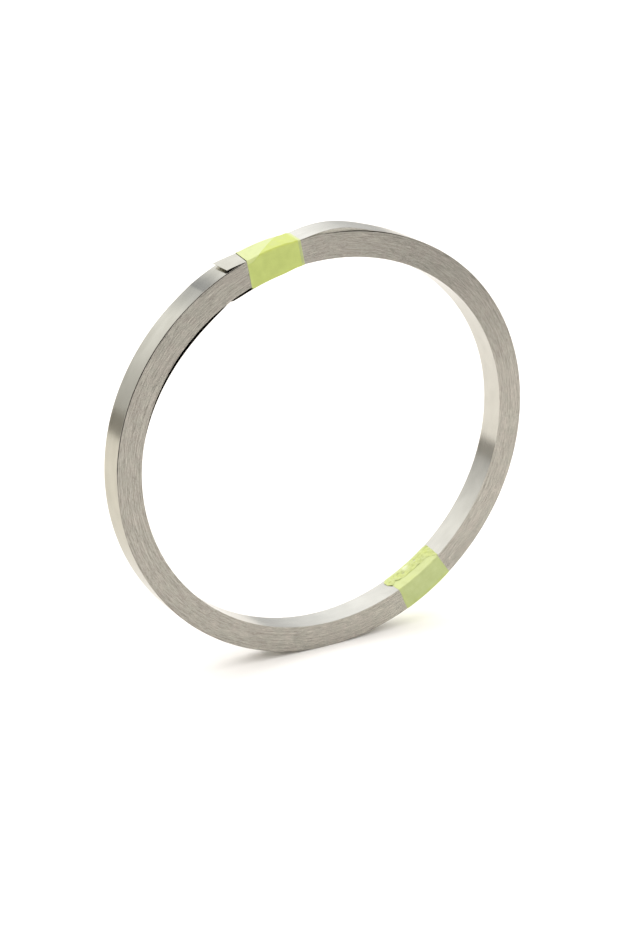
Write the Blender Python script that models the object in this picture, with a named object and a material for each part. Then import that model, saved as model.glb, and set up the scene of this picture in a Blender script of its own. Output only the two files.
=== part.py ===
"""Roll of nickel strip, held by two wraps of masking tape.

Metres, +Z up. The roll stands on its rim with its axis along Y, and the origin is
on the floor under its middle. Angles run from +X towards +Z, seen from the front (-Y).
"""
import math

import bmesh
import bpy
from mathutils import Vector

# The strip itself
STRIP_WIDTH = 0.008
STRIP_THICKNESS = 0.0001

# The wound ring: bore, wall, and how far it sags out of round under its own weight
BORE_RADIUS = 0.05629
WALL = 0.00748
SAG = 0.00217
LOPSIDE = 0.0003
SEGMENTS = 96

# The spiral that shows on both ends, one groove for every bundle of turns
BUNDLE = 0.0012
GROOVE_WIDTH = 0.00028
GROOVE_DEPTH = 0.00014
GROOVE_INSET = 0.0006
RUN_OUT_COLUMNS = 4

# Masking tape: two wraps round the ring's section
TAPE_WIDTH = 0.0170
TAPE_THICKNESS = 0.00015
TAPE_CLEARANCE = 0.0001
TAPE_FOLD_RADIUS = 0.0002
UPPER_TAPE_ANGLE = math.radians(106.2)
UPPER_TAPE_LEAN = math.radians(-9.0)
LOWER_TAPE_ANGLE = math.radians(303.9)
LOWER_TAPE_LEAN = math.radians(-4.0)
TAPE_COLUMNS = 14
FOLD_POINTS = 3

# Loose turns: their lift off the pack, the lengths that they span, and their peaks' places
TAIL_LENGTH = 0.0063
TAIL_LIFT = 0.00095
TAIL_CURL = 1.15
BOW_LENGTH = 0.0415
BOW_LIFT = 0.00125
BOW_PEAK = 0.33
BOW_SHARPNESS = 2.0
INNER_END_LENGTH = 0.0084
INNER_END_LIFT = 0.0005
INNER_END_PEAK = 0.36
INNER_BOW_LENGTH = 0.0430
INNER_BOW_LIFT = 0.00095
INNER_BOW_PEAK = 0.32
INNER_SHARPNESS = 1.3
ROOTED = 0.0012
TELESCOPE = 0.00005
LOOSE_STEP = math.radians(1.25)

NICKEL = (0.63, 0.61, 0.57, 1.0)
TAPE_YELLOW = (0.80, 0.86, 0.38, 1.0)


def out_of_round(angle):
    """How far the sagging ring departs from a circle at this angle."""
    return SAG * math.cos(2 * angle) + LOPSIDE * math.sin(3 * angle)


def radius_at(angle, depth):
    """Distance from the axis, with depth counted outwards from the bore wall."""
    return BORE_RADIUS + depth + out_of_round(angle)


def ring_point(angle, depth, y):
    radius = radius_at(angle, depth)
    return Vector((radius * math.cos(angle), y, radius * math.sin(angle)))


# A whole facet lies on the floor, so the axis stands this high above it
HALF_FACET = math.pi / SEGMENTS
FLOOR_ANGLE = -math.pi / 2
AXIS_HEIGHT = radius_at(FLOOR_ANGLE + HALF_FACET, WALL) * math.cos(HALF_FACET)


def new_object(name, bm, colour, metallic, roughness):
    """Turn a bmesh into a named object on the ring's axis, with its own material."""
    bmesh.ops.recalc_face_normals(bm, faces=bm.faces)
    mesh = bpy.data.meshes.new(name)
    bm.to_mesh(mesh)
    bm.free()
    mesh.shade_smooth()
    mesh.set_sharp_from_angle(angle=math.radians(20))
    obj = bpy.data.objects.new(name, mesh)
    obj.location = (0.0, 0.0, AXIS_HEIGHT)
    bpy.context.collection.objects.link(obj)
    material = bpy.data.materials.new(name)
    material.use_nodes = True
    shader = material.node_tree.nodes["Principled BSDF"]
    shader.inputs["Base Color"].default_value = colour
    shader.inputs["Metallic"].default_value = metallic
    shader.inputs["Roughness"].default_value = roughness
    mesh.materials.append(material)
    return obj


def groove_count():
    return max(2, round((WALL - 2 * GROOVE_INSET) / BUNDLE))


def spiral_grooves(column):
    """Depth and cut of each groove where one column of the ring crosses the spiral.

    The spiral starts near the bore and ends near the rim, both at column 0, so that
    column crosses one groove more than the rest. Both ends run out to nothing.
    """
    count = groove_count()
    pitch = (WALL - 2 * GROOVE_INSET) / count
    turn = column / SEGMENTS
    grooves = []
    for index in range(count + 1 if column == 0 else count):
        wound = index + turn
        columns_to_end = min(wound, count - wound) * SEGMENTS
        cut = GROOVE_DEPTH * min(1.0, columns_to_end / RUN_OUT_COLUMNS)
        grooves.append((GROOVE_INSET + wound * pitch, cut))
    return grooves


def end_column(bm, column, angle, side):
    """Vertices of one end face from the bore to the rim, with a V for each groove."""
    face = side * STRIP_WIDTH / 2
    points = [(0.0, face)]
    for depth, cut in spiral_grooves(column):
        points.append((depth - GROOVE_WIDTH / 2, face))
        points.append((depth, face - side * cut))
        points.append((depth + GROOVE_WIDTH / 2, face))
    points.append((WALL, face))
    return [bm.verts.new(ring_point(angle, depth, y)) for depth, y in points]


def bridge_end_columns(bm, here, there):
    """Faces between two neighbouring columns of an end.

    Column 0's extra groove has no depth. Where it has no partner, it lies in the plain
    land by the rim when the ring leaves column 0, and by the bore when it returns.
    """
    spans = min(len(here), len(there)) - 1
    extra_there = max(0, len(there) - len(here))
    for span in range(spans):
        near = here[span:] if span == spans - 1 else here[span:span + 2]
        low = 0 if span == 0 else span + extra_there
        high = len(there) if span == spans - 1 else span + extra_there + 2
        bm.faces.new(near + there[low:high][::-1])


def wound_ring():
    """The pack: one turned ring with its bore, and the spiral of its turns on both ends."""
    bm = bmesh.new()
    step = 2 * math.pi / SEGMENTS
    seam = round((UPPER_TAPE_ANGLE - FLOOR_ANGLE) / step - 0.5)
    ends = {-1: [], 1: []}
    for column in range(SEGMENTS):
        angle = FLOOR_ANGLE + (seam + column + 0.5) * step
        for side, columns in ends.items():
            columns.append(end_column(bm, column, angle, side))
    for column in range(SEGMENTS):
        after = (column + 1) % SEGMENTS
        for columns in ends.values():
            bridge_end_columns(bm, columns[column], columns[after])
        for edge in (0, -1):
            front, back = ends[-1], ends[1]
            bm.faces.new((front[column][edge], front[after][edge],
                          back[after][edge], back[column][edge]))
    return bm


def loft(bm, sections):
    """Quads from each closed section to the next, in order."""
    for here, there in zip(sections, sections[1:]):
        for corner in range(len(here)):
            after = (corner + 1) % len(here)
            bm.faces.new((here[corner], here[after], there[after], there[corner]))


def hump(share, peak, sharpness):
    """0 at both ends and 1 at the peak; the feet are softer the sharper the peak is."""
    if not 0.0 < share < 1.0:
        return 0.0
    return math.sin(math.pi * share ** (math.log(0.5) / math.log(peak))) ** sharpness


def loose_turn(name, start, end, depth_at):
    """One turn of strip between two angles, whose lower side lies at depth_at(angle)."""
    bm = bmesh.new()
    columns = math.ceil(abs(end - start) / LOOSE_STEP)
    half = STRIP_WIDTH / 2 - TELESCOPE
    sections = []
    for column in range(columns + 1):
        share = column / columns
        angle = start + (end - start) * share
        low = depth_at(angle)
        high = low + STRIP_THICKNESS
        corners = ((low, -half), (high, -half), (high, half), (low, half))
        sections.append([bm.verts.new(ring_point(angle, depth, y)) for depth, y in corners])
    loft(bm, sections)
    bm.faces.new(sections[0])
    bm.faces.new(sections[-1][::-1])
    obj = new_object(name, bm, NICKEL, 1.0, 0.34)
    obj.hide_render = True
    obj.display_type = "WIRE"
    return obj


def tape_edge(angle, side, depth):
    """Angle of a tape band's edge where it crosses this depth; side is -1 or 1."""
    return angle + side * math.asin(TAPE_WIDTH / 2 / radius_at(angle, depth))


def outer_tail():
    """The strip's free outer end, which springs up past the upper tape."""
    root = tape_edge(UPPER_TAPE_ANGLE, 1, WALL)
    rim = radius_at(root, WALL)
    sunk = WALL - 2 * STRIP_THICKNESS
    rise = TAIL_LIFT + STRIP_THICKNESS

    def depth_at(angle):
        return sunk + rise * max(0.0, (angle - root) * rim / TAIL_LENGTH) ** TAIL_CURL

    return loose_turn("outer_tail", root - ROOTED / rim, root + TAIL_LENGTH / rim, depth_at)


def outer_bow():
    """The outermost turn, which bows off the pack on the other side of the upper tape."""
    root = tape_edge(UPPER_TAPE_ANGLE, -1, WALL)
    rim = radius_at(root, WALL)
    sunk = WALL - 2 * STRIP_THICKNESS
    rise = BOW_LIFT + STRIP_THICKNESS

    def depth_at(angle):
        return sunk + rise * hump((root - angle) * rim / BOW_LENGTH, BOW_PEAK, BOW_SHARPNESS)

    return loose_turn("outer_bow", root + ROOTED / rim, root - (BOW_LENGTH + ROOTED) / rim, depth_at)


def inner_bows():
    """The innermost turn, which stands off the bore wall beside the upper tape.

    It lifts a little, touches the pack, then lifts in a longer bow.
    """
    root = tape_edge(UPPER_TAPE_ANGLE, 1, 0.0)
    wall = radius_at(root, 0.0)
    touch = root + INNER_END_LENGTH / wall
    bows = (
        ("inner_end", root, INNER_END_LENGTH, INNER_END_LIFT, INNER_END_PEAK),
        ("inner_bow", touch, INNER_BOW_LENGTH, INNER_BOW_LIFT, INNER_BOW_PEAK),
    )
    rooted = ROOTED / 4 / wall
    turns = []
    for name, start, length, lift, peak in bows:
        def depth_at(angle, start=start, length=length, lift=lift, peak=peak):
            rise = lift + STRIP_THICKNESS
            return STRIP_THICKNESS - rise * hump((angle - start) * wall / length, peak, INNER_SHARPNESS)

        turns.append(loose_turn(name, start - rooted, start + length / wall + rooted, depth_at))
    return turns


def fold_outline(gap, radius):
    """A closed outline round the ring's section, gap clear of it, with rounded folds."""
    half = STRIP_WIDTH / 2 + gap
    low, high = -gap, WALL + gap
    corners = (
        (high - radius, half - radius, 0.0),
        (low + radius, half - radius, 90.0),
        (low + radius, -half + radius, 180.0),
        (high - radius, -half + radius, 270.0),
    )
    outline = []
    for depth, y, first in corners:
        for point in range(FOLD_POINTS):
            turn = math.radians(first + 90.0 * point / (FOLD_POINTS - 1))
            outline.append((depth + radius * math.cos(turn), y + radius * math.sin(turn)))
    return outline


def tape_band(name, centre, lean):
    """A sleeve of tape round the section, with parallel edges that lean across the rim."""
    bm = bmesh.new()
    inside = fold_outline(TAPE_CLEARANCE, TAPE_FOLD_RADIUS)
    outside = fold_outline(TAPE_CLEARANCE + TAPE_THICKNESS, TAPE_FOLD_RADIUS + TAPE_THICKNESS)
    layers = {"inside": [], "outside": []}
    for column in range(TAPE_COLUMNS + 1):
        along = (column / TAPE_COLUMNS - 0.5) * TAPE_WIDTH
        for layer, outline in (("inside", inside), ("outside", outside)):
            section = []
            for depth, y in outline:
                shift = along + y * math.tan(lean)
                angle = centre + math.asin(shift / radius_at(centre, depth))
                section.append(bm.verts.new(ring_point(angle, depth, y)))
            layers[layer].append(section)
    loft(bm, layers["inside"])
    loft(bm, layers["outside"])
    for end in (0, -1):
        loft(bm, [layers["inside"][end], layers["outside"][end]])
    return new_object(name, bm, TAPE_YELLOW, 0.0, 0.55)


def clear_scene():
    for obj in list(bpy.data.objects):
        bpy.data.objects.remove(obj, do_unlink=True)


clear_scene()
strip = new_object("nickel_strip", wound_ring(), NICKEL, 1.0, 0.34)
for turn in [outer_tail(), outer_bow(), *inner_bows()]:
    union = strip.modifiers.new(turn.name, "BOOLEAN")
    union.operation = "UNION"
    union.object = turn
tape_band("tape_band_upper", UPPER_TAPE_ANGLE, UPPER_TAPE_LEAN)
tape_band("tape_band_lower", LOWER_TAPE_ANGLE, LOWER_TAPE_LEAN)
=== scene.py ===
import math

import bmesh
import bpy
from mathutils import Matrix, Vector, noise


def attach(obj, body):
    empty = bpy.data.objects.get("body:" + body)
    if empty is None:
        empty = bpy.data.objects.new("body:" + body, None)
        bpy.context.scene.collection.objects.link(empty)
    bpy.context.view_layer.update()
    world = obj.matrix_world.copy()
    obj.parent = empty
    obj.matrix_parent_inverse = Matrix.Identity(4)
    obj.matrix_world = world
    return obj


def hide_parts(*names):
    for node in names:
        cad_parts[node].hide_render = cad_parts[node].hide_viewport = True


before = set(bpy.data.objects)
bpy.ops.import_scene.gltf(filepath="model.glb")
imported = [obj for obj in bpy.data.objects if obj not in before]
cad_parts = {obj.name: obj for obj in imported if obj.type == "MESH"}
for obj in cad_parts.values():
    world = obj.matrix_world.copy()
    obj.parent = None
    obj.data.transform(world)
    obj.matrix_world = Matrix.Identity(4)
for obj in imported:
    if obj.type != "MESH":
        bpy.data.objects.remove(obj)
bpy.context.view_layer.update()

# The roll of strip
# One pure nickel strip, 8 mm by 0.1 mm, slit to width and wound on itself in some seventy
# turns. Only its spring and the tape hold it, so it stands a little out of round, its free
# end springs up, and the outermost and innermost turns bow off the rest.
STRIP_WIDTH = 0.00792
STRIP_THICKNESS = 0.000095
EDGE_CROWN = 0.000018
BORE_RADIUS = 0.05629
WALL = 0.00748
SAG = 0.00217
LOPSIDE = 0.0003
AXIS_HEIGHT = 0.061867
TURNS = 71.04
STATIONS_PER_TURN = 110
LOOSE_STATIONS = 720
INNER_LOOSE = 0.25
OUTER_LOOSE = 1.25
TAIL_ANGLE = 120.0
DENT_ANGLE = 99.5
DENT_REACH = 3.4
DENT_DEPTH = 0.00042
INNER_TOUCH = 17.9
PITCH = (WALL - STRIP_THICKNESS) / TURNS


class Reading:
    """A socket that plain operators work on, each adding its Math node."""

    def __init__(self, graph, socket):
        self.graph = graph
        self.socket = socket

    def __add__(self, other):
        return self.graph.maths("ADD", self, other)

    def __sub__(self, other):
        return self.graph.maths("SUBTRACT", self, other)

    def __mul__(self, other):
        return self.graph.maths("MULTIPLY", self, other)

    def __truediv__(self, other):
        return self.graph.maths("DIVIDE", self, other)

    def __pow__(self, other):
        return self.graph.maths("POWER", self, other)

    def __radd__(self, other):
        return self.graph.maths("ADD", other, self)

    def __rsub__(self, other):
        return self.graph.maths("SUBTRACT", other, self)

    def __rmul__(self, other):
        return self.graph.maths("MULTIPLY", other, self)

    def __neg__(self):
        return self.graph.maths("MULTIPLY", self, -1.0)

    def output(self, name):
        """Another output of the node that this reading comes from."""
        return Reading(self.graph, self.socket.node.outputs[name])

    def sine(self):
        return self.graph.maths("SINE", self)

    def cosine(self):
        return self.graph.maths("COSINE", self)

    def size(self):
        return self.graph.maths("ABSOLUTE", self)

    def over(self, limit):
        return self.graph.maths("GREATER_THAN", self, limit)

    def rounded(self):
        return self.graph.maths("ROUND", self)

    def fraction(self):
        return self.graph.maths("FRACT", self)

    def smaller(self, other):
        return self.graph.maths("MINIMUM", self, other)

    def between(self, start, end, easing="LINEAR"):
        """0 at start and 1 at end, held there beyond them."""
        settings = {"interpolation_type": easing, "clamp": True}
        sockets = {"Value": self, "From Min": start, "From Max": end}
        return self.graph.add("ShaderNodeMapRange", settings, sockets)


class Graph:
    """A node tree, shader or geometry, with one way to add a node."""

    def __init__(self, tree):
        self.tree = tree
        tree.nodes.clear()

    def add(self, kind, settings=None, sockets=None, output=0):
        node = self.tree.nodes.new(kind)
        for name, value in (settings or {}).items():
            if name == "stops":
                stops = node.color_ramp.elements
                while len(stops) < len(value):
                    stops.new(1.0)
                for stop, (place, tone) in zip(stops, value):
                    stop.position = place
                    stop.color = (tone, tone, tone, 1.0)
            else:
                setattr(node, name, value)
        for key, value in (sockets or {}).items():
            if isinstance(value, Reading):
                self.tree.links.new(value.socket, node.inputs[key])
            else:
                node.inputs[key].default_value = value
        return Reading(self, node.outputs[output]) if node.outputs else node

    def maths(self, operation, *values):
        return self.add("ShaderNodeMath", {"operation": operation}, dict(enumerate(values)))

    def vector(self, x, y, z):
        return self.add("ShaderNodeCombineXYZ", None, {"X": x, "Y": y, "Z": z})

    def parts(self, vector):
        first = self.add("ShaderNodeSeparateXYZ", None, {"Vector": vector})
        return first, first.output("Y"), first.output("Z")

    def noise(self, vector, scale=1.0, detail=0.0, roughness=0.5):
        sockets = {"Vector": vector, "Scale": scale, "Detail": detail, "Roughness": roughness}
        return self.add("ShaderNodeTexNoise", {"noise_dimensions": "3D"}, sockets)

    def tint(self, factor, first, second):
        """A colour between two others."""
        settings = {"data_type": "RGBA", "clamp_factor": True}
        return self.add("ShaderNodeMix", settings, {0: factor, 6: first, 7: second}, output=2)

    def product(self, first, second):
        """Two colours or vectors multiplied, part by part."""
        return self.add("ShaderNodeVectorMath", {"operation": "MULTIPLY"}, {0: first, 1: second})


def new_material(name):
    material = bpy.data.materials.new(name)
    material.use_nodes = True
    return material, Graph(material.node_tree)


def finish_material(graph, sockets):
    """Close a material with its Principled shader."""
    shader = graph.add("ShaderNodeBsdfPrincipled", None, sockets)
    graph.add("ShaderNodeOutputMaterial", None, {"Surface": shader})


def lobe(x, y, towards, power):
    """1 in one direction from the axis, in degrees, falling to 0 on the other side."""
    turned = math.radians(towards)
    facing = x * math.cos(turned) + y * math.sin(turned)
    return facing.between(0.0, 1.0) ** power


def read_winding(graph):
    """The direction from the roll's axis as x and y, and the turn counted from the bore."""
    return graph.parts(graph.add("ShaderNodeAttribute", {"attribute_name": "winding"}, output="Vector"))


# Both flat sides are cold rolled: nearly a mirror, brushed by fine lines along the strip.
# The bow beside the tape is painted lighter than the rest of the outermost turn, and the bore
# has a colour of its own: painted light and shade on one metal.
LIT_BOW_NICKEL = (0.632, 0.624, 0.580, 1.0), (0.685, 0.677, 0.633, 1.0)
SHADED_OUTER_NICKEL = (0.537, 0.527, 0.470, 1.0), (0.599, 0.589, 0.530, 1.0)
BORE_NICKEL = (0.573, 0.566, 0.530, 1.0), (0.624, 0.617, 0.579, 1.0)
NICKEL_GLANCE = (0.85, 0.845, 0.83, 1.0)
PAINTED_SHADE_STRENGTH = (0.19, 0.21, 0.26)

rolled_nickel, graph = new_material("rolled_nickel")
along_x, along_y, turn = read_winding(graph)
place = graph.add("ShaderNodeTexCoord", output="Object")
across = graph.parts(place)[1]
line_place = graph.vector(along_x * 1.5, along_y * 1.5, across * 5200.0 + turn * 7.3)
rolling_lines = graph.noise(line_place, 1.0, 2.0)
haze_place = graph.vector(along_x * 9.0, along_y * 9.0, across * 260.0 + turn * 3.1)
haze = graph.noise(haze_place, 1.0, 1.0).between(0.3, 0.7)
# The bow beside the tape takes the lighter colour, which is painted light; the rest of the outermost turn
# takes the darker one, which is painted shade
past_end = (TURNS - turn) * 360.0
lit_bow = past_end.between(10.0, 18.0) * past_end.between(52.0, 45.0)
outer_colour = graph.tint(lit_bow, graph.tint(haze, *SHADED_OUTER_NICKEL), graph.tint(haze, *LIT_BOW_NICKEL))
rolled_colour = graph.tint(turn.between(1.0, 1.5), graph.tint(haze, *BORE_NICKEL), outer_colour)

# Painted shade darkens the left and the upper right of the rim, and the right side of the bore
painted_shade = lobe(along_x, along_y, 184.0, 3.0) + 1.3 * lobe(along_x, along_y, 64.0, 40.0)
painted_shade = painted_shade * turn.between(1.0, 1.5) + 0.72 * lobe(along_x, along_y, 346.0, 1.8) * turn.between(1.5, 1.0)
rolled_colour = graph.product(rolled_colour, graph.vector(*(1.0 - soil * painted_shade for soil in PAINTED_SHADE_STRENGTH)))
rolled_bump = graph.add(
    "ShaderNodeBump", None, {"Strength": 0.05, "Distance": 0.00002, "Height": rolling_lines}
)
finish_material(graph, {
    "Base Color": rolled_colour,
    "Metallic": 1.0,
    "Roughness": 0.12 + 0.10 * rolling_lines,
    "Specular Tint": NICKEL_GLANCE,
    "Normal": rolled_bump,
})

# The slit edges are sheared metal, matt and a little darker. Every turn stands its own way.
# Painted shade draws dark lines between some turns near the rim, and painted shade and light
# make the upper right darkest, the left a little darker and the lower right lighter.
DARK_EDGE = (0.297, 0.283, 0.250, 1.0)
BRIGHT_EDGE = (0.642, 0.615, 0.552, 1.0)
COOL_HUE = (0.992, 1.0, 0.99, 1.0)
WARM_HUE = (1.01, 0.992, 0.992, 1.0)

slit_nickel, graph = new_material("slit_nickel_edges")
along_x, along_y, turn = read_winding(graph)
place = graph.add("ShaderNodeTexCoord", output="Object")
fine_streaks = graph.noise(graph.vector(along_x * 22.0, along_y * 22.0, turn * 0.8), 1.0, 2.0, 0.6)
long_streaks = graph.noise(graph.vector(along_x * 9.0, along_y * 9.0, turn * 0.45 + 7.0), 1.0, 2.0)
speckle = graph.noise(graph.vector(along_x * 110.0, along_y * 110.0, turn * 0.75), 1.0, 1.0)
streaks = 0.85 * (fine_streaks.between(0.26, 0.74) - 0.5) + 0.32 * (long_streaks.between(0.3, 0.7) - 0.5)
streaks = 0.5 + streaks + 0.85 * (speckle - 0.5)
# Painted shade: dark lines between some turns near the rim
painted_gap_shade = graph.noise(graph.vector(along_x * 9.0, along_y * 9.0, turn * 0.7 + 31.0), 1.0, 1.0)
by_the_rim = turn.between(53.0, 64.0) * (0.45 + 0.55 * (along_x * 0.45 + along_y * 0.9).size())
streaks = streaks - painted_gap_shade.between(0.60, 0.68) * by_the_rim * 0.45

# Painted shade and light by side of the ring: darkest to the upper right, a little darker to the left,
# lighter to the lower right
painted_side_shading = 1.0 - 0.23 * lobe(along_x, along_y, 50.0, 6.0) + 0.13 * lobe(along_x, along_y, 300.0, 1.5)
painted_side_shading = painted_side_shading - 0.065 * lobe(along_x, along_y, 200.0, 0.8)
slit_colour = graph.tint(streaks, DARK_EDGE, BRIGHT_EDGE)
hue = graph.noise(place, 330.0, 1.0).between(0.35, 0.65)
slit_colour = graph.product(slit_colour, graph.tint(hue, COOL_HUE, WARM_HUE))
slit_colour = graph.product(slit_colour, graph.vector(painted_side_shading, painted_side_shading, painted_side_shading))
finish_material(graph, {
    "Base Color": slit_colour,
    "Metallic": 1.0,
    "Roughness": 0.42 + 0.14 * fine_streaks,
})


def new_tree(name, sizes):
    """A geometry tree with named inputs, and what those inputs read inside it."""
    tree = bpy.data.node_groups.new(name, "GeometryNodeTree")
    tree.interface.new_socket("Geometry", in_out="OUTPUT", socket_type="NodeSocketGeometry")
    for title, kind, value in sizes:
        socket = tree.interface.new_socket(title, in_out="INPUT", socket_type=kind)
        if kind != "NodeSocketMaterial":
            socket.default_value = value
    made = Graph(tree)
    inputs = made.add("NodeGroupInput")
    return made, {title: inputs.output(title) for title, kind, value in sizes}


def hump(share, skew, sharpness):
    """0 at both ends of the share and 1 between them, nearer its start for a skew under 1."""
    return ((share.between(0.0, 1.0) ** skew) * math.pi).sine().between(0.0, 1.0) ** sharpness


strip_sizes = [
    ("Turns", "NodeSocketFloat", TURNS),
    ("Stations per turn", "NodeSocketInt", STATIONS_PER_TURN),
    ("Loose stations", "NodeSocketInt", LOOSE_STATIONS),
    ("Inner loose", "NodeSocketFloat", INNER_LOOSE),
    ("Outer loose", "NodeSocketFloat", OUTER_LOOSE),
    ("Tail angle", "NodeSocketFloat", math.radians(TAIL_ANGLE)),
    ("Bore radius", "NodeSocketFloat", BORE_RADIUS),
    ("Pitch", "NodeSocketFloat", PITCH),
    ("Sag", "NodeSocketFloat", SAG),
    ("Lopside", "NodeSocketFloat", LOPSIDE),
    ("Axis height", "NodeSocketFloat", AXIS_HEIGHT),
    ("Strip width", "NodeSocketFloat", STRIP_WIDTH),
    ("Strip thickness", "NodeSocketFloat", STRIP_THICKNESS),
    ("Edge crown", "NodeSocketFloat", EDGE_CROWN),
    ("Seed", "NodeSocketFloat", 3.0),
    ("Rolled sides", "NodeSocketMaterial", rolled_nickel),
    ("Slit edges", "NodeSocketMaterial", slit_nickel),
]
graph, size = new_tree("wound_strip", strip_sizes)

# The line of the spiral, from the bore outwards, with closer stations where it is loose
turns, inner_loose, outer_loose = size["Turns"], size["Inner loose"], size["Outer loose"]
packed = turns - inner_loose - outer_loose
first = inner_loose * size["Loose stations"]
second = first + packed * size["Stations per turn"]
third = second + outer_loose * size["Loose stations"]
line = graph.add("GeometryNodeCurvePrimitiveLine", {"mode": "POINTS"}, {"End": (1.0, 0.0, 0.0)})
stations = third.rounded() + 1.0
line = graph.add("GeometryNodeResampleCurve", {"mode": "COUNT"}, {"Curve": line, "Count": stations})
station = graph.add("GeometryNodeInputIndex") * (third / third.rounded())
wound = station.between(0.0, first) * inner_loose + station.between(first, second) * packed
wound = wound + station.between(second, third) * outer_loose
angle = size["Tail angle"] - (turns - wound) * math.tau
out_of_round = size["Sag"] * (angle * 2.0).cosine() + size["Lopside"] * (angle * 3.0).sine()
radius = size["Bore radius"] + size["Strip thickness"] * 0.5 + size["Pitch"] * wound + out_of_round
spot = graph.vector(radius * angle.cosine(), radius * angle.sine(), 0.0)
line = graph.add("GeometryNodeSetPosition", None, {"Geometry": line, "Position": spot})
line = graph.add("GeometryNodeStoreNamedAttribute", {"data_type": "FLOAT_VECTOR", "domain": "POINT"}, {
    "Geometry": line, "Name": "winding", "Value": graph.vector(angle.cosine(), angle.sine(), wound),
})
line = graph.add("GeometryNodeSetCurveNormal", {"mode": "Z_UP"}, {"Curve": line})

# The strip's section: thin across, with both slit edges slightly crowned
SECTION_CORNERS = 6
section = graph.add("GeometryNodeCurvePrimitiveCircle", {"mode": "RADIUS"}, {
    "Resolution": SECTION_CORNERS, "Radius": 1.0,
})
corner = (graph.add("GeometryNodeInputIndex") + 0.5) * (math.tau / SECTION_CORNERS)
edge = corner.sine().size().over(0.75)
upward = corner.sine().between(-0.1, 0.1) * 2.0 - 1.0
thick = corner.cosine() * (1.0 / math.cos(math.pi / SECTION_CORNERS)) * size["Strip thickness"] * 0.5
wide = upward * (size["Strip width"] * 0.5 - (1.0 - edge) * size["Edge crown"])
spot = graph.vector(thick, wide, 0.0)
section = graph.add("GeometryNodeSetPosition", None, {"Geometry": section, "Position": spot})
strip = graph.add("GeometryNodeCurveToMesh", None, {
    "Curve": line, "Profile Curve": section, "Fill Caps": True,
})

# How far each loose part stands off the pack, and where, in degrees back from the free end.
# Of a pair of lifts, the first is at the middle of the strip's width, or at the back for the
# innermost turn, and the second is what the front adds.
TAIL_REACH = 6.3
LONG_BOW_START, LONG_BOW_REACH = 21.0, 38.0
STEEP_BOW_START, STEEP_BOW_REACH = 20.7, 26.3
UNDER_BOW_SPAN = (386.0, 416.0)
SLACK_SPAN = (300.0, 353.0)
INNER_BOW_SPAN = (INNER_TOUCH + 1.4, 65.0)
TAIL_LIFT = (0.00095, -0.00005)
LONG_BOW_LIFT = (0.00033, -0.00017)
STEEP_BOW_LIFT = (0.00080, 0.00008)
INNER_END_LIFT = (0.00006, 0.00058)
INNER_BOW_LIFT = (0.00020, 0.00062)
UNDER_BOW_LIFT = 0.00025
SLACK_LIFT = 0.00025
KINK_LIFT = 0.00018
OWN_WANDER = 0.00013
GROUP_WANDER = 0.00016
WANDER_LIMIT = 0.00004


def leaning(lift, towards_front):
    """A lift that changes across the strip's width."""
    return lift[0] + lift[1] * towards_front


winding = graph.add("GeometryNodeInputNamedAttribute", {"data_type": "FLOAT_VECTOR"}, {"Name": "winding"})
along_x, along_y, wound = graph.parts(winding)
nearness = graph.parts(graph.add("GeometryNodeInputPosition"))[2] / (size["Strip width"] * 0.5)
nearer = nearness.between(-1.0, 1.0)
from_tail = (turns - wound) * 360.0
from_start = wound * 360.0

# The free end stands up straight from the tape, all but its very root
tail_share = (1.0 - from_tail / (TAIL_REACH - 0.4 * nearness)).between(0.0, 1.0)
tail = tail_share ** 1.1 * leaning(TAIL_LIFT, nearness)

# Past the tape the same turn rises in a long low bow with a steeper one on it, and twists
long_share = (from_tail - LONG_BOW_START) / (LONG_BOW_REACH - 3.0 * nearness)
long_bow = hump(long_share, 0.87, 1.0) * leaning(LONG_BOW_LIFT, nearness)
steep_share = (from_tail - STEEP_BOW_START + 0.3 * nearness) / (STEEP_BOW_REACH - 1.7 * nearness)
steep_bow = hump(steep_share, 0.955 + 0.105 * nearness, 2.1) * leaning(STEEP_BOW_LIFT, nearness)

# The second turn parts from the pack under the bow, and has a kink where the free end leaves it
under_bow = hump(from_tail.between(*UNDER_BOW_SPAN), 0.9, 1.2) * nearer * UNDER_BOW_LIFT
kink = from_tail.between(344.8, 352.4) ** 3.0 * from_tail.between(366.0, 362.0) * KINK_LIFT

# Further round it is slack, and shows a hairline under its front edge
slack = hump(from_tail.between(*SLACK_SPAN), 0.9, 0.6) * nearer * SLACK_LIFT

# The tape pulls the pack in at its right edge, most in the turns just under the outermost one
from_dent = ((from_tail - (TAIL_ANGLE - DENT_ANGLE)) / 360.0).fraction() * 360.0
from_dent = from_dent.smaller(360.0 - from_dent) / DENT_REACH
pulled = (wound / turns) ** 1.5 * graph.maths("EXPONENT", -(from_dent * from_dent))
dent = pulled * (1.0 - 0.3 * from_tail.between(200.0, 60.0)) * DENT_DEPTH

# The innermost turn stands off at its own free end, touches once, and bows again
inner_end = (1.0 - from_start.between(0.0, INNER_TOUCH) ** 9.0) ** 0.5 * leaning(INNER_END_LIFT, nearer)
inner_bow = hump(from_start.between(*INNER_BOW_SPAN), 0.576, 1.2) * leaning(INNER_BOW_LIFT, nearer)
lift = tail + long_bow + steep_bow + under_bow + kink + slack - inner_end - inner_bow - dent

# No turn's edges lie quite level with its neighbours'
own_wander = graph.noise(graph.vector(wound * 11.0, size["Seed"], 0.0), 1.0, 1.0)
group_wander = graph.noise(graph.vector(along_x * 1.3, along_y * 1.3, wound * 0.24 + size["Seed"]))
wander = (own_wander - 0.5) * OWN_WANDER + (group_wander - 0.5) * GROUP_WANDER
wander = wander.between(-WANDER_LIMIT, WANDER_LIMIT) * (2 * WANDER_LIMIT) - WANDER_LIMIT
offset = graph.vector(along_x * lift, along_y * lift, wander)
strip = graph.add("GeometryNodeSetPosition", None, {"Geometry": strip, "Offset": offset})

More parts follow.
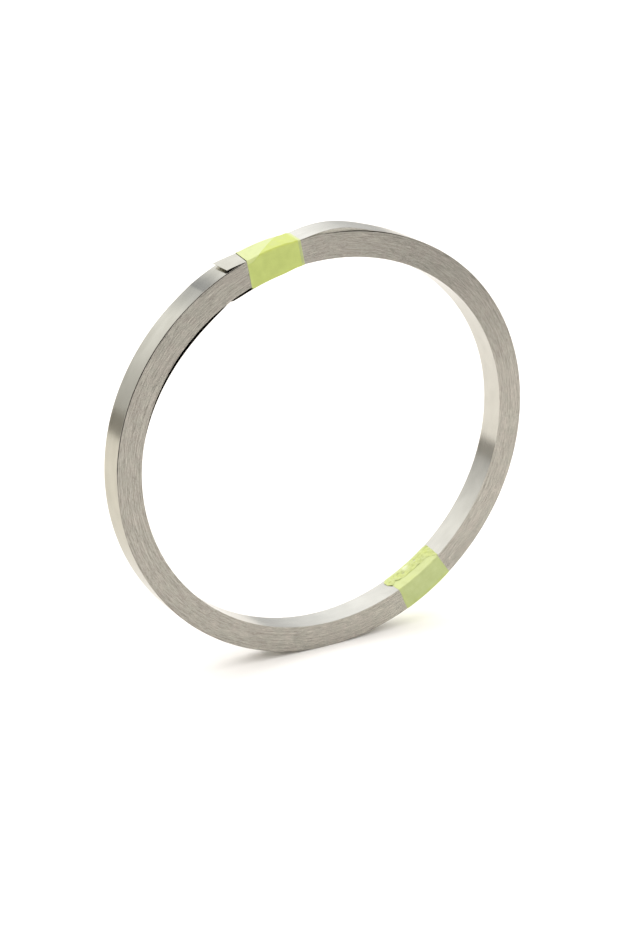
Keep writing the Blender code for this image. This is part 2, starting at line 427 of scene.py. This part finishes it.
# Slit edges face along the axis, and the whole is stood up on its rim
facing = graph.parts(graph.add("GeometryNodeInputNormal"))[2].size().over(0.5)
strip = graph.add("GeometryNodeRealizeInstances", None, {"Geometry": strip})
strip = graph.add("GeometryNodeSetMaterial", None, {"Geometry": strip, "Material": size["Rolled sides"]})
strip = graph.add("GeometryNodeSetMaterial", None, {
    "Geometry": strip, "Selection": facing, "Material": size["Slit edges"],
})
strip = graph.add("GeometryNodeTransform", None, {
    "Geometry": strip,
    "Translation": graph.vector(0.0, 0.0, size["Axis height"]),
    "Rotation": (math.radians(90.0), 0.0, 0.0),
})
graph.add("NodeGroupOutput", None, {"Geometry": strip})


def grow(name, tree, sizes):
    """Run a geometry tree once and keep its result as a plain mesh."""
    piece = bpy.data.objects.new(name, bpy.data.meshes.new(name))
    bpy.context.scene.collection.objects.link(piece)
    modifier = piece.modifiers.new("grow", "NODES")
    modifier.node_group = tree
    identifiers = {item.name: item.identifier for item in tree.interface.items_tree}
    for title, kind, value in sizes:
        modifier[identifiers[title]] = value
    evaluated = piece.evaluated_get(bpy.context.evaluated_depsgraph_get())
    grown = bpy.data.meshes.new_from_object(evaluated)
    piece.modifiers.clear()
    piece.data = grown
    return piece


roll = grow("roll_of_nickel_strip", graph.tree, strip_sizes)
roll.data.shade_smooth()
roll.data.set_sharp_from_angle(angle=math.radians(50.0))
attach(roll, "root")
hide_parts("nickel_strip")

# The two bands of masking tape
# Yellow crepe paper tape, 17 mm wide, wound by hand round the roll's section. The upper one
# holds the free end and laps over itself on the front and the rim. The lower one laps inside
# the bore, where its torn end is crumpled.
TAPE_WIDTH = 0.0169
TAPE_THICKNESS = 0.00006
TAPE_LAYER = 0.00007
TAPE_FOLD = 0.00014
SECTION_HALF = 0.00399
TAPE_COLUMNS = 72
FLAT_STEP = 0.00025
FOLD_STEP = 0.00008
END_STEP = 0.0001
TAPE_CLEARANCE = 0.00001
STUCK_EDGE = 0.00005

FACE_RUN = WALL - 2 * TAPE_FOLD
RIM_RUN = 2 * SECTION_HALF - 2 * TAPE_FOLD
FOLD_RUN = TAPE_FOLD * math.pi / 2
GIRTH = 2 * FACE_RUN + 2 * RIM_RUN + 4 * FOLD_RUN


def smooth(value, start, end):
    """0 at start and 1 at end, eased at both."""
    share = min(1.0, max(0.0, (value - start) / (end - start)))
    return share * share * (3.0 - 2.0 * share)


def section_course(distance):
    """Depth, y and outward heading on the ring's section, this far round it.

    It starts at the front of the bore and goes up the front, over the rim, down the back.
    """
    heading = 0.0
    depth, y = TAPE_FOLD, -SECTION_HALF
    left = distance % GIRTH
    for run in (FACE_RUN, RIM_RUN, FACE_RUN, RIM_RUN):
        step = min(left, run)
        depth += step * math.cos(heading)
        y += step * math.sin(heading)
        left -= step
        if left <= 0.0:
            break
        turned = min(left, FOLD_RUN) / TAPE_FOLD
        depth += TAPE_FOLD * (math.sin(heading + turned) - math.sin(heading))
        y -= TAPE_FOLD * (math.cos(heading + turned) - math.cos(heading))
        heading += turned
        left -= FOLD_RUN
        if left <= 0.0:
            break
    return depth, y, heading - math.pi / 2


def row_places(start, last):
    """The distances round the section at which a tape has its rows, closer at each fold."""
    places = [start]
    edge = -GIRTH
    courses = ((FACE_RUN, FLAT_STEP), (FOLD_RUN, FOLD_STEP), (RIM_RUN, FLAT_STEP), (FOLD_RUN, FOLD_STEP))
    while edge < last:
        for run, step in courses:
            low, high = max(edge, start), min(edge + run, last)
            rows = math.ceil((high - low) / step) if high > low else 0
            places += [low + (high - low) * (row + 1) / rows for row in range(rows)]
            edge += run
    return places


def on_ring(angle, depth, y, shift):
    """The point beside an angle of the ring by this shift, which the tape's width measures."""
    reach = BORE_RADIUS + depth + SAG * math.cos(2 * angle) + LOPSIDE * math.sin(3 * angle)
    angle += math.asin(shift / reach)
    reach = BORE_RADIUS + depth + SAG * math.cos(2 * angle) + LOPSIDE * math.sin(3 * angle)
    return Vector((reach * math.cos(angle), y, AXIS_HEIGHT + reach * math.sin(angle)))


def tape_band(name, centre, start, common, end, lay):
    """A ribbon of tape, wound from start to end(across) round the section.

    Up to common every column has the same rows. lay(distance, across, depth, y) says how far
    the tape stands off, how far it sinks to the axis, its sideways shift and its tone, which
    is its layers, the painted light from behind, and its dullness, or paleness below 0, which
    on the lower tape's ridge is a painted glint.
    """
    bm = bmesh.new()
    places = bm.verts.layers.float_vector.new("tape")
    tones = bm.verts.layers.float_vector.new("paper")
    rows = row_places(start, common)
    end_rows = math.ceil((max(end(step / 50.0) for step in range(-50, 51)) - common) / END_STEP)
    grid = []
    for column in range(TAPE_COLUMNS + 1):
        across = 2 * column / TAPE_COLUMNS - 1
        last = end(across) - common
        line = []
        for distance in rows + [common + last * (row + 1) / end_rows for row in range(end_rows)]:
            depth, y, outward = section_course(distance)
            gap, sink, shift, tone = lay(distance, across, depth, y)
            depth += gap * math.cos(outward) - sink
            y += gap * math.sin(outward)
            vertex = bm.verts.new(on_ring(centre, depth, y, shift))
            vertex[places] = (across, distance * 1000.0, 0.0)
            vertex[tones] = tone
            line.append(vertex)
        grid.append(line)
    for here, there in zip(grid, grid[1:]):
        for row in range(len(here) - 1):
            bm.faces.new((here[row], here[row + 1], there[row + 1], there[row]))
    mesh = bpy.data.meshes.new(name)
    bm.to_mesh(mesh)
    bm.free()
    piece = bpy.data.objects.new(name, mesh)
    bpy.context.scene.collection.objects.link(piece)
    solidify = piece.modifiers.new("thickness", "SOLIDIFY")
    solidify.thickness = TAPE_THICKNESS
    solidify.offset = 1.0
    evaluated = piece.evaluated_get(bpy.context.evaluated_depsgraph_get())
    thick = bpy.data.meshes.new_from_object(evaluated)
    piece.modifiers.clear()
    piece.data = thick
    thick.shade_smooth()
    thick.set_sharp_from_angle(angle=math.radians(50.0))
    return piece


# The paper is thin, and a second layer yellows it. Its lit colour is painted light, as if the
# bright metal of the rim and the bore lit it from behind, and its shaded colour is painted shade.
SHADED_PAPER = (0.460, 0.529, 0.215, 1.0), (0.451, 0.523, 0.141, 1.0)
LIT_PAPER = (0.558, 0.607, 0.267, 1.0), (0.482, 0.540, 0.105, 1.0)
PALE_AND_GLINT_PAPER = (0.80, 0.83, 0.62, 1.0)

masking_paper, graph = new_material("yellow_masking_tape")
tape_place = graph.add("ShaderNodeAttribute", {"attribute_name": "tape"}, output="Vector")
across, distance = graph.parts(tape_place)[:2]
tape_tone = graph.add("ShaderNodeAttribute", {"attribute_name": "paper"}, output="Vector")
layers, light, dim = graph.parts(tape_tone)
place = graph.add("ShaderNodeTexCoord", output="Object")
crepe = graph.noise(graph.vector(across * 26.0, distance * 4.2, 0.0), 1.0, 3.0, 0.6)
mottle = graph.noise(place, 360.0, 2.0)
layers = layers + 1.8 * (mottle - 0.5) * light
# Painted light and shade: the lit colour where the tone's light is high, the shaded one elsewhere
shaded = graph.tint(layers, *SHADED_PAPER)
lit = graph.tint(layers, *LIT_PAPER)
paper = graph.tint(light + 0.3 * (mottle - 0.5), shaded, lit)
# Below 0 the dullness brightens and pales the paper; on the lower tape's crumpled ridge that is a painted
# glint
bright = 1.0 + 0.26 * (mottle - 0.5) + 0.2 * (crepe - 0.5) - 0.18 * dim
paper = graph.product(paper, graph.vector(bright, bright, bright + 0.25 * (mottle - 0.5)))
paper = graph.tint(-0.5 * dim, paper, PALE_AND_GLINT_PAPER)
crepe_bump = graph.add("ShaderNodeBump", None, {"Strength": 0.35, "Distance": 0.00006, "Height": crepe})
finish_material(graph, {
    "Base Color": paper,
    "Roughness": 0.42,
    "Specular IOR Level": 0.5,
    "Normal": crepe_bump,
})

UPPER_CENTRE = math.radians(106.35)
UPPER_START = -0.0035
UPPER_LAP = GIRTH - 0.003
UPPER_COMMON = GIRTH + FACE_RUN - 0.0012
UPPER_SLANT = 0.00359
UPPER_SLOPE = 0.00697
UPPER_LONGEST = 0.0079
UPPER_DROP = 0.0010
UPPER_BULGE = 0.00054
UPPER_RISE_RIGHT = 0.00012
UPPER_RISE_LEFT = 0.00022
UPPER_SKEW = 0.13
UPPER_FLARE = 0.0003
UPPER_LAP_SHIFT = 0.00043
FACE_CRINKLE = 0.00001
RIM_CRINKLE = 0.00005


def upper_end(across):
    """The outer lap is cut off slantwise on the rim, and just below the fold at its left."""
    slant = UPPER_SLANT - UPPER_SLOPE * across
    below = -UPPER_DROP * smooth(across, 0.45, 0.85)
    return GIRTH + FACE_RUN + FOLD_RUN / 2 + max(below, min(UPPER_LONGEST, slant))


def upper_lay(distance, across, depth, y):
    """The tape bulges over the strip's inner end, and rises at the rim as the strip leaves it."""
    lapped = smooth(distance, UPPER_LAP, UPPER_LAP + 0.002)
    on_rim = smooth(depth, WALL - 0.00025, WALL - 0.00005)
    crinkle = noise.noise(Vector((across * 4.0, distance * 420.0, 1.7)))
    crinkle *= FACE_CRINKLE + RIM_CRINKLE * on_rim * lapped
    stuck = smooth(abs(across), 0.9, 1.0) * STUCK_EDGE * (1.0 - lapped * (across < 0.0))
    gap = TAPE_CLEARANCE + TAPE_LAYER * lapped * (1.0 - 0.9 * smooth(across, 0.86, 0.98)) + crinkle - stuck
    near = 0.1 + 0.9 * (0.5 - y / (2 * SECTION_HALF))
    bulge = UPPER_BULGE * smooth(across, -1.0, -0.15) * (1.0 - 0.5 * smooth(across, 0.93, 1.0))
    rise = UPPER_RISE_RIGHT * smooth(-across, 0.75, 1.0) + UPPER_RISE_LEFT * smooth(across, 0.88, 1.0)
    sink = bulge * near * (1.0 - smooth(depth, 0.0, 0.0015)) - rise * smooth(depth, WALL - 0.0006, WALL)
    shift = across * TAPE_WIDTH / 2 - UPPER_SKEW * y + UPPER_FLARE * (1.0 - 2.0 * depth / WALL)
    shift += UPPER_LAP_SHIFT * lapped * (1.0 - across)
    from_dent = math.degrees(UPPER_CENTRE + shift / (BORE_RADIUS + WALL)) - DENT_ANGLE
    sink += 0.8 * DENT_DEPTH * smooth(depth, 0.0, WALL) * math.exp(-((from_dent / DENT_REACH) ** 2))
    loose = smooth(depth, WALL - 0.0016, WALL - 0.0007) * (1.0 - lapped) * (1.0 - on_rim)
    loose *= smooth(across, 0.0, 0.2)
    # Painted light: full on the rim, and some at the edges, near the fold and on the pale band called loose
    edge = max(smooth(abs(across), 0.97, 1.0), smooth(0.0009 - depth, 0.0, 0.0007))
    fold = smooth(depth, WALL - 0.0010, WALL - 0.0002)
    light = 0.06 + 0.3 * edge + 0.2 * loose + 0.3 * fold
    light += (1.0 - light) * on_rim
    dim = smooth(-across, 0.84, 0.9) * (1.0 - lapped) * (1.0 - on_rim) * (1.0 - edge) - 0.3 * loose
    layers = max(0.75 * loose, lapped * (1.0 - 0.4 * smooth(across, 0.93, 0.99)))
    return gap, sink, shift, (layers, light, dim)


tape_upper = tape_band(
    "masking_tape_upper", UPPER_CENTRE, UPPER_START, UPPER_COMMON, upper_end, upper_lay
)
tape_upper.data.materials.append(masking_paper)
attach(tape_upper, "root")
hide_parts("tape_band_upper")

LOWER_CENTRE = math.radians(303.9)
BORE_LEFT = GIRTH - FOLD_RUN
LOWER_START = -0.0044
LOWER_LAP = BORE_LEFT - 0.0042
LOWER_COMMON = BORE_LEFT - 0.0066
LAP_HALF_WIDTH = 0.0086
CRUMPLE = 0.00018
CRUMPLE_WRINKLE = 0.00052
CRUMPLE_RIDGE = 0.00030
TORN_BACK = 0.0032
TORN_RAGGED = 0.0004
TORN_NOTCH = 0.0009
TORN_CORNER = 0.0013
TORN_SLANT = 0.0032
TORN_CURL = 0.00007


def lower_end(across):
    """The end was torn by hand in the bore: a notch at its left and a long slant at its right."""
    ragged = noise.noise(Vector((across * 5.0, 5.3, 0.0))) * TORN_RAGGED
    notch = -TORN_NOTCH * math.exp(-((across + 0.69) / 0.09) ** 2) - TORN_CORNER * smooth(-across, 0.88, 1.0)
    slant = TORN_SLANT * max(0.0, (across - 0.62) / 0.38) ** 1.2
    return BORE_LEFT - TORN_BACK + ragged * (1.0 - smooth(across, 0.7, 1.0)) + notch + slant


def lower_lay(distance, across, depth, y):
    """The first end is stuck down in the bore, and the second one, wider, is crumpled on it."""
    inner = 1.0 - smooth(depth, 0.0, WALL)
    second = smooth(distance, BORE_LEFT - RIM_RUN, BORE_LEFT - RIM_RUN + 0.0012)
    over = smooth(distance, LOWER_LAP - 0.0004, LOWER_LAP + 0.0004)
    wrinkle = noise.noise(Vector((across * 5.5, distance * 720.0, 4.1)))
    wrinkle += 0.5 * noise.noise(Vector((across * 12.0, distance * 1600.0, 8.2)))
    ridge = math.exp(-((across + 0.09) / 0.12) ** 2 - ((distance - BORE_LEFT + 0.0058) / 0.0006) ** 2)
    curl = smooth(-across, 0.78, 1.0) * over
    lifted = 0.4 * smooth(noise.noise(Vector((across * 6.0, 2.2, 0.0))), 0.0, 0.3)
    body = second * (lifted + (1.0 - lifted) * smooth(lower_end(across) - distance, 0.0, 0.0009))
    gap = TAPE_CLEARANCE - smooth(abs(across), 0.9, 1.0) * STUCK_EDGE * (1.0 - second) + TAPE_LAYER * over
    crumple = CRUMPLE + CRUMPLE_WRINKLE * wrinkle + CRUMPLE_RIDGE * ridge
    gap += body * (1.0 - 0.7 * smooth(-across, 0.8, 0.95)) * crumple
    gap += TORN_CURL * curl
    first_shift = across * TAPE_WIDTH / 2 * (1.0 - 0.075 * inner) - 0.00016 + 0.0004 * inner
    second_shift = across * LAP_HALF_WIDTH + 0.0001 + 0.1 * y * max(0.0, across)
    shift = first_shift + (second_shift - first_shift) * second
    # Painted light: a little on the margins of the face, nearly full on the bore part
    margin = max(0.5 * smooth(-across, 0.78, 0.92), smooth(depth, WALL - 0.0015, WALL - 0.0007))
    in_bore = 1.0 - smooth(depth, 0.0, 0.0002)
    layers = 0.35 * margin * (1.0 - in_bore) + in_bore * 0.3 * second
    light = 0.04 + 0.12 * margin * (1.0 - in_bore) + 0.92 * in_bore
    # The ridge's paleness is a painted glint
    return gap, 0.0, shift, (layers, light, -1.5 * ridge * second)


tape_lower = tape_band(
    "masking_tape_lower", LOWER_CENTRE, LOWER_START, LOWER_COMMON, lower_end, lower_lay
)
tape_lower.data.materials.append(masking_paper)
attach(tape_lower, "root")
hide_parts("tape_band_lower")

# The studio
# A plain white floor, a soft light from all round that is weaker by the floor and in front, a
# softbox overhead that draws the shadow, and a low grey card behind that only the metal sees.
FLOOR_REACH = 6.0
FLOOR_WHITE = (0.95, 0.92, 0.885, 1.0)
CARD_GREY = (0.36, 0.35, 0.33, 1.0)
CARD_DISTANCE = 0.56
CARD_HEIGHT = 0.072
CARD_FOOT = 0.0005
CARD_FROM, CARD_TO = 100.0, 178.0
CARD_STEPS = 24


def matt_paper(name, colour):
    """A plain paper without any sheen."""
    paper, graph = new_material(name)
    finish_material(graph, {"Base Color": colour, "Roughness": 1.0, "Specular IOR Level": 0.0})
    return paper


bm = bmesh.new()
bmesh.ops.create_grid(bm, x_segments=1, y_segments=1, size=FLOOR_REACH)
floor_mesh = bpy.data.meshes.new("floor")
bm.to_mesh(floor_mesh)
bm.free()
floor_mesh.materials.append(matt_paper("white_floor", FLOOR_WHITE))
floor = bpy.data.objects.new("floor", floor_mesh)
bpy.context.scene.collection.objects.link(floor)

bm = bmesh.new()
foot, head = [], []
for step in range(CARD_STEPS + 1):
    turned = math.radians(CARD_FROM + (CARD_TO - CARD_FROM) * step / CARD_STEPS)
    at = Vector((CARD_DISTANCE * math.cos(turned), CARD_DISTANCE * math.sin(turned), CARD_FOOT))
    foot.append(bm.verts.new(at))
    head.append(bm.verts.new(at + Vector((0.0, 0.0, CARD_HEIGHT))))
for step in range(CARD_STEPS):
    bm.faces.new((foot[step], foot[step + 1], head[step + 1], head[step]))
card_mesh = bpy.data.meshes.new("grey_card")
bm.to_mesh(card_mesh)
bm.free()
card_mesh.materials.append(matt_paper("grey_card", CARD_GREY))
card = bpy.data.objects.new("grey_card", card_mesh)
bpy.context.scene.collection.objects.link(card)
card.visible_camera = False
card.visible_diffuse = False
card.visible_shadow = False

SOFTBOX_HEIGHT = 1.6
SOFTBOX_ACROSS = 4.6
SOFTBOX_POWER = 31.2
softbox_light = bpy.data.lights.new("softbox", "AREA")
softbox_light.shape = "DISK"
softbox_light.size = SOFTBOX_ACROSS
softbox_light.energy = SOFTBOX_POWER
softbox = bpy.data.objects.new("softbox", softbox_light)
bpy.context.scene.collection.objects.link(softbox)
softbox.location = (0.0, 0.0, SOFTBOX_HEIGHT)
softbox.visible_glossy = False

TOP_LEVEL = 1.5
SKY_FOOT, SKY_TOP = -10.0, 90.0
DOORWAY_AZIMUTH, DOORWAY_HALF = -3.7, 6.0
DOORWAY_HEIGHT, DOORWAY_TALL = 31.0, 10.0
DOORWAY_DARK = (0.79, 0.78, 0.755)

world = bpy.data.worlds.new("soft_studio")
bpy.context.scene.world = world
world.use_nodes = True
graph = Graph(world.node_tree)
toward = graph.add("ShaderNodeTexCoord", output="Generated")
toward_x, toward_y, toward_z = graph.parts(toward)
height = graph.maths("ARCSINE", toward_z) * (180.0 / math.pi)
height_share = height.between(SKY_FOOT, SKY_TOP)


def by_height(levels):
    """The light's level at each height above the horizon, in degrees."""
    stops = [((degrees - SKY_FOOT) / (SKY_TOP - SKY_FOOT), level / TOP_LEVEL) for degrees, level in levels]
    return graph.add("ShaderNodeValToRGB", {"stops": stops}, {"Fac": height_share})


behind = by_height([
    (-10, 0.76), (0, 0.78), (4, 0.82), (10, 0.93), (17, 1.14),
    (26, 1.38), (36, 1.50), (55, 1.42), (90, 1.40),
])
before = by_height([(-10, 0.32), (0, 0.34), (15, 0.45), (30, 0.70), (50, 1.10), (90, 1.40)])
backness = toward_y.between(-0.25, 0.45, "SMOOTHSTEP")
sky = graph.tint(backness, before, behind)

# The wall behind is a little darker to the right, with a dark doorway near its middle
azimuth = graph.maths("ARCTAN2", toward_x, toward_y) * (180.0 / math.pi)
rightward = azimuth.between(20.0, 32.0, "SMOOTHSTEP")
aside = (azimuth - DOORWAY_AZIMUTH) / DOORWAY_HALF
above = (height - DOORWAY_HEIGHT) / DOORWAY_TALL
doorway = graph.maths("EXPONENT", -(aside * aside + above * above))
level = 1.0 - 0.07 * rightward
sky = graph.product(sky, graph.vector(level, level, level))
sky = graph.product(sky, graph.vector(*(1.0 - dark * doorway for dark in DOORWAY_DARK)))
background = graph.add("ShaderNodeBackground", None, {"Color": sky, "Strength": TOP_LEVEL})
graph.add("ShaderNodeOutputWorld", None, {"Surface": background})


# The camera stands in front on the left and looks down on the roll
LENS = 84.81
SENSOR = 36.0
NEAREST = 0.01
CAMERA_PLACE = (-0.29996, -0.50171, 0.26845)
CAMERA_TARGET = (-0.003655, 0.0, 0.055253)

camera_data = bpy.data.cameras.new("camera")
camera_data.lens = LENS
camera_data.sensor_width = SENSOR
camera_data.clip_start = NEAREST
camera = bpy.data.objects.new("camera", camera_data)
bpy.context.scene.collection.objects.link(camera)
camera.location = CAMERA_PLACE
camera_aim = Vector(CAMERA_TARGET) - camera.location
camera.rotation_mode = "QUATERNION"
camera.rotation_quaternion = camera_aim.to_track_quat("-Z", "Y")
bpy.context.scene.camera = camera
bpy.context.scene.view_settings.view_transform = "Standard"
